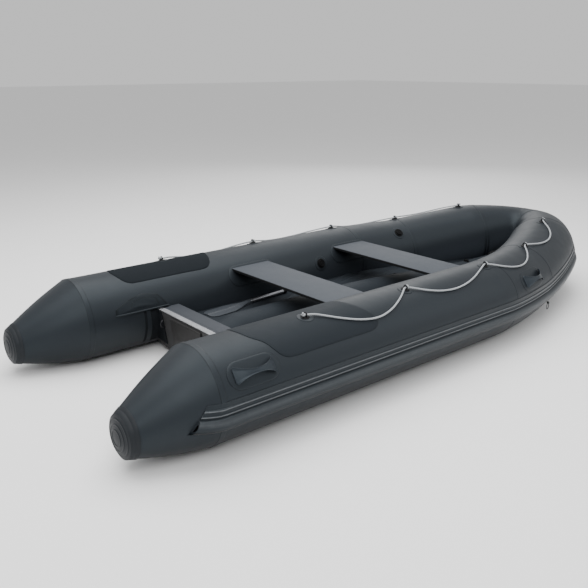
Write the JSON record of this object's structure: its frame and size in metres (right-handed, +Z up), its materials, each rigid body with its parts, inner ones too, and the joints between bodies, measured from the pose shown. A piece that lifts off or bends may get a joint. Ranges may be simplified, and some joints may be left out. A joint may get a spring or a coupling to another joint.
{
  "type": "soft inflatable boat with inflatable keel",
  "caption": "Soft inflatable boat with round side tubes and stern cones, ribbed rub strake, wooden transom, bench seats, lifelines and swinging tow rings",
  "frame": {"origin": "bottom centre of the boat's bounding box, on the ground under the keel line", "axes": "+X to the bow, +Y to port, +Z up"},
  "size_m": [4.3377, 1.8882, 0.6],
  "materials": {
    "hull_fabric": "reinforced coated fabric, satin, dark slate grey",
    "floor_fabric": "coated fabric, slack and wrinkled",
    "patch_fabric": "anti-slip coated fabric, matt, near black",
    "grey_patch": "glued patches of the hull's coated fabric",
    "strake_rubber": "extruded rubber, satin",
    "grey_rubber": "moulded rubber, satin",
    "seat_board": "plywood with a fine grey non-slip coat",
    "transom_wood": "grey painted plywood",
    "metal_strip": "ribbed extrusion, natural",
    "clamp_plastic": "moulded, grained",
    "black_plastic": "moulded, fine grain",
    "steel": "polished stainless steel",
    "rope": "twisted light grey line",
    "paddle_plastic": "moulded blade",
    "paddle_metal": "drawn tube"
  },
  "bodies": {
    "root": {"side_tube_starboard": "hull_fabric", "side_tube_port": "hull_fabric", "stern_cone_starboard": "hull_fabric", "stern_cone_port": "hull_fabric", "bow_quarter_starboard": "hull_fabric", "bow_quarter_port": "hull_fabric", "bow_nose": "hull_fabric", "hull_bottom": "hull_fabric", "transom_flanges": "hull_fabric", "transom_knees": "hull_fabric", "keel_tube": "floor_fabric", "floor_cloth": "floor_fabric", "wear_patch_starboard": "patch_fabric", "wear_patch_port": "patch_fabric", "lifeline_patches_starboard": "grey_patch", "lifeline_patches_port": "grey_patch", "handle_patches_starboard": "grey_patch", "handle_patches_port": "grey_patch", "valve_patches_starboard": "grey_patch", "valve_patches_port": "grey_patch", "seat_patches_starboard": "grey_patch", "seat_patches_port": "grey_patch", "rub_strake_starboard": "strake_rubber", "rub_strake_port": "strake_rubber", "rub_strake_bow_starboard": "strake_rubber", "rub_strake_bow_port": "strake_rubber", "cone_cap_starboard": "grey_rubber", "cone_cap_port": "grey_rubber", "stern_handle_starboard": "grey_rubber", "stern_handle_port": "grey_rubber", "bow_handle_starboard": "grey_rubber", "bow_handle_port": "grey_rubber", "seat_aft": "seat_board", "seat_forward": "seat_board", "transom_shelf": "seat_board", "transom_board": "transom_wood", "transom_strip": "metal_strip", "clamp_pad": "clamp_plastic", "seat_brackets": "black_plastic", "keel_valves": "black_plastic", "lifeline_holders_starboard": "black_plastic", "lifeline_holders_port": "black_plastic", "air_valves_starboard": "black_plastic", "air_valves_port": "black_plastic", "tow_ring_strap_starboard": "black_plastic", "tow_ring_strap_port": "black_plastic", "transom_eyes": "steel", "lifeline_starboard": "rope", "lifeline_port": "rope", "lifeline_knots_starboard": "rope", "lifeline_knots_port": "rope", "paddle_blades": "paddle_plastic", "paddle_ends": "paddle_plastic", "paddle_shafts": "paddle_metal"},
    "tow_ring_starboard": {"tow_ring_starboard": "steel"},
    "tow_ring_port": {"tow_ring_port": "steel"}
  },
  "joints": [
    {"name": "tow_ring_starboard_swing", "type": "hinge", "parent": "root", "child": "tow_ring_starboard", "pos_m": [1.1275, -0.74794, 0.09885], "axis": [-0.966, -0.2585, 0], "range_deg": [-50, 150]},
    {"name": "tow_ring_port_swing", "type": "hinge", "parent": "root", "child": "tow_ring_port", "pos_m": [1.1275, 0.74794, 0.09885], "axis": [0.966, -0.2585, 0], "range_deg": [-50, 150]}
  ]
}
